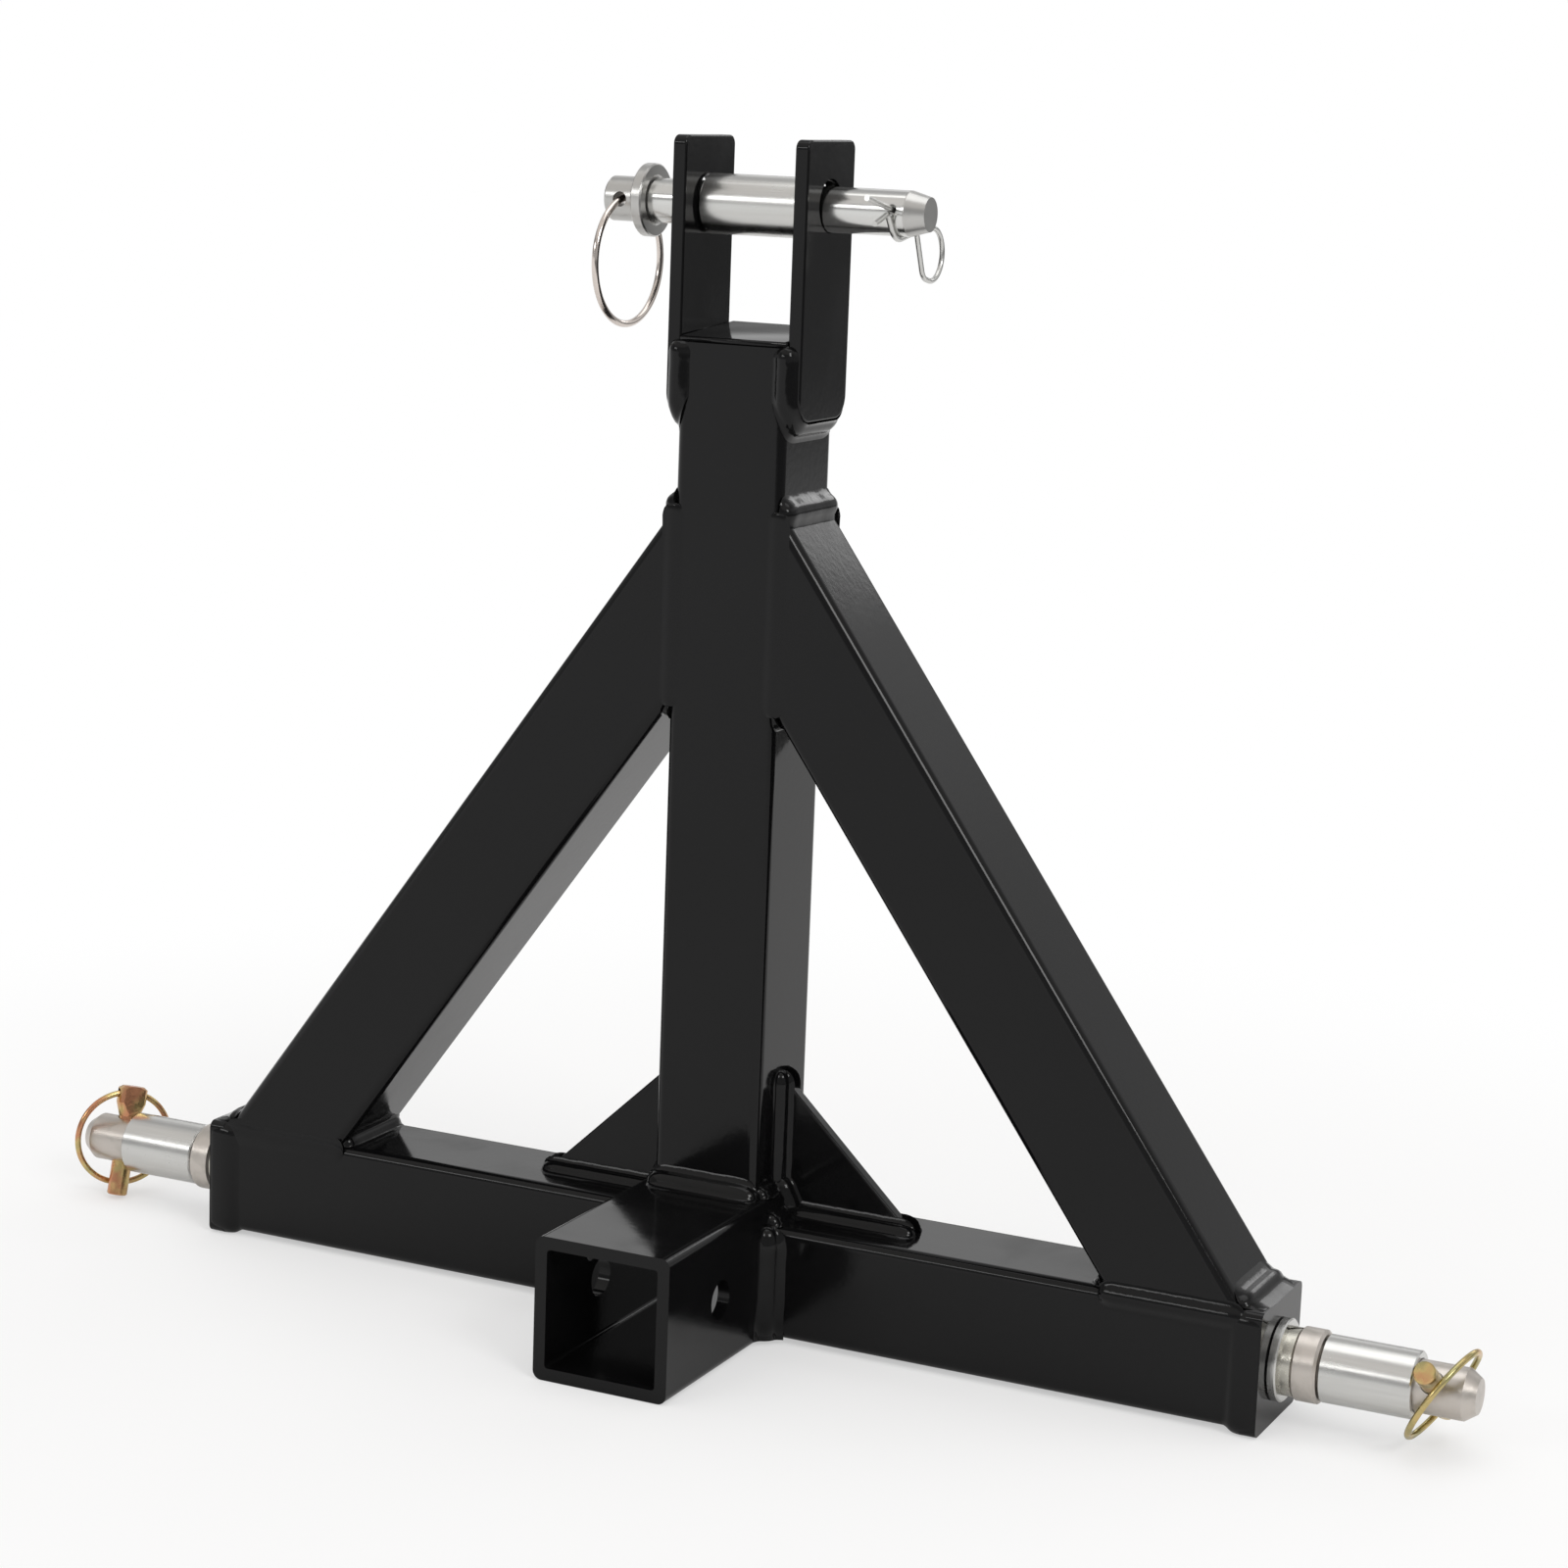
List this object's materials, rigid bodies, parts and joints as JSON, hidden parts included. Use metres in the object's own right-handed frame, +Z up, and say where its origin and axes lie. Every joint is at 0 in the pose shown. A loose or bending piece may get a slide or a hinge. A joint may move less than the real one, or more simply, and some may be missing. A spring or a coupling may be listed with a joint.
{
  "type": "three point receiver hitch",
  "caption": "Triangulated square tube frame with a receiver socket, a top link clevis with its pin and two lower link pins held by lynch pins.",
  "frame": {"origin": "on the receiver tube's underside, below the centre of the mast", "axes": "+X along the crossbar towards the right-hand lower pin as seen from the receiver's mouth, +Y from the mouth to the rear, +Z up the mast"},
  "size_m": [0.6824, 0.1637, 0.5155],
  "materials": {
    "black_paint": "semi-gloss black powder coat",
    "weld_paint": "weld bead under semi-gloss black powder coat",
    "bright_zinc": "bright zinc plate",
    "bare_steel": "turned steel, slightly warm grey",
    "yellow_zinc": "yellow zinc plate with a faint rainbow tint",
    "nickel": "nickel plated wire"
  },
  "bodies": {
    "frame": {"brace_left": "black_paint", "brace_right": "black_paint", "clevis_ear_left": "black_paint", "clevis_ear_right": "black_paint", "crossbar_left": "black_paint", "crossbar_right": "black_paint", "end_plate_left": "black_paint", "end_plate_right": "black_paint", "flat_washer_left": "bright_zinc", "flat_washer_right": "bright_zinc", "gusset_left": "black_paint", "gusset_right": "black_paint", "lock_washer_left": "bright_zinc", "lock_washer_right": "bright_zinc", "lower_pin_left": "bare_steel", "lower_pin_right": "bare_steel", "mast": "black_paint", "mast_cap": "black_paint", "receiver_tube": "black_paint", "stud_nut_left": "bare_steel", "stud_nut_right": "bare_steel", "weld_brace_foot_left": "weld_paint", "weld_brace_foot_right": "weld_paint", "weld_brace_head_left": "weld_paint", "weld_brace_head_right": "weld_paint", "weld_ear_left": "weld_paint", "weld_ear_right": "weld_paint", "weld_end_plate_left": "weld_paint", "weld_end_plate_right": "weld_paint", "weld_gusset_left_front": "weld_paint", "weld_gusset_left_rear": "weld_paint", "weld_gusset_right_front": "weld_paint", "weld_gusset_right_rear": "weld_paint", "weld_mast_foot_front": "weld_paint", "weld_mast_foot_rear": "weld_paint", "weld_receiver_left_front": "weld_paint", "weld_receiver_left_rear": "weld_paint", "weld_receiver_right_front": "weld_paint", "weld_receiver_right_rear": "weld_paint"},
    "top_pin_set": {"top_pin": "bright_zinc", "top_pin_collar": "bright_zinc", "hairpin_clip": "bright_zinc"},
    "pull_ring_body": {"pull_ring": "nickel"},
    "top_sleeve_body": {"top_link_sleeve": "bright_zinc"},
    "lower_sleeve_right_body": {"lower_sleeve_right": "bright_zinc"},
    "lynch_pin_right_body": {"lynch_pin_right": "yellow_zinc"},
    "lynch_ring_right_body": {"lynch_ring_right": "yellow_zinc"},
    "lower_sleeve_left_body": {"lower_sleeve_left": "bright_zinc"},
    "lynch_pin_left_body": {"lynch_pin_left": "yellow_zinc"},
    "lynch_ring_left_body": {"lynch_ring_left": "yellow_zinc"}
  },
  "joints": [
    {"name": "top_pin_slide", "type": "slide", "parent": "frame", "child": "top_pin_set", "axis": [1, 0, 0], "range_m": [-0.029, 0.017]},
    {"name": "pull_ring_swing", "type": "hinge", "parent": "top_pin_set", "child": "pull_ring_body", "pos_m": [-0.0632, 0, 0.487], "axis": [-0.0523, -0.9986, 0], "range_deg": [-200, 12]},
    {"name": "top_sleeve_spin", "type": "hinge", "parent": "frame", "child": "top_sleeve_body", "pos_m": [0, 0, 0.487], "axis": [1, 0, 0], "continuous": true},
    {"name": "lower_sleeve_right_spin", "type": "hinge", "parent": "frame", "child": "lower_sleeve_right_body", "pos_m": [0.2964, 0, 0.027], "axis": [1, 0, 0], "continuous": true},
    {"name": "lynch_pin_right_lift", "type": "slide", "parent": "frame", "child": "lynch_pin_right_body", "axis": [0, 0.848, -0.5299], "range_m": [0, 0.005]},
    {"name": "lynch_ring_right_swing", "type": "hinge", "parent": "lynch_pin_right_body", "child": "lynch_ring_right_body", "pos_m": [0.3232, 0.01883, 0.01524], "axis": [0.4848, 0.4635, 0.7417], "range_deg": [0, 150]},
    {"name": "lower_sleeve_left_spin", "type": "hinge", "parent": "frame", "child": "lower_sleeve_left_body", "pos_m": [-0.2964, 0, 0.027], "axis": [1, 0, 0], "continuous": true},
    {"name": "lynch_pin_left_lift", "type": "slide", "parent": "frame", "child": "lynch_pin_left_body", "axis": [0, 0.2588, 0.9659], "range_m": [0, 0.005]},
    {"name": "lynch_ring_left_swing", "type": "hinge", "parent": "lynch_pin_left_body", "child": "lynch_ring_left_body", "pos_m": [-0.3232, 0.00575, 0.04844], "axis": [0.6157, 0.7612, -0.204], "range_deg": [0, 150]}
  ]
}
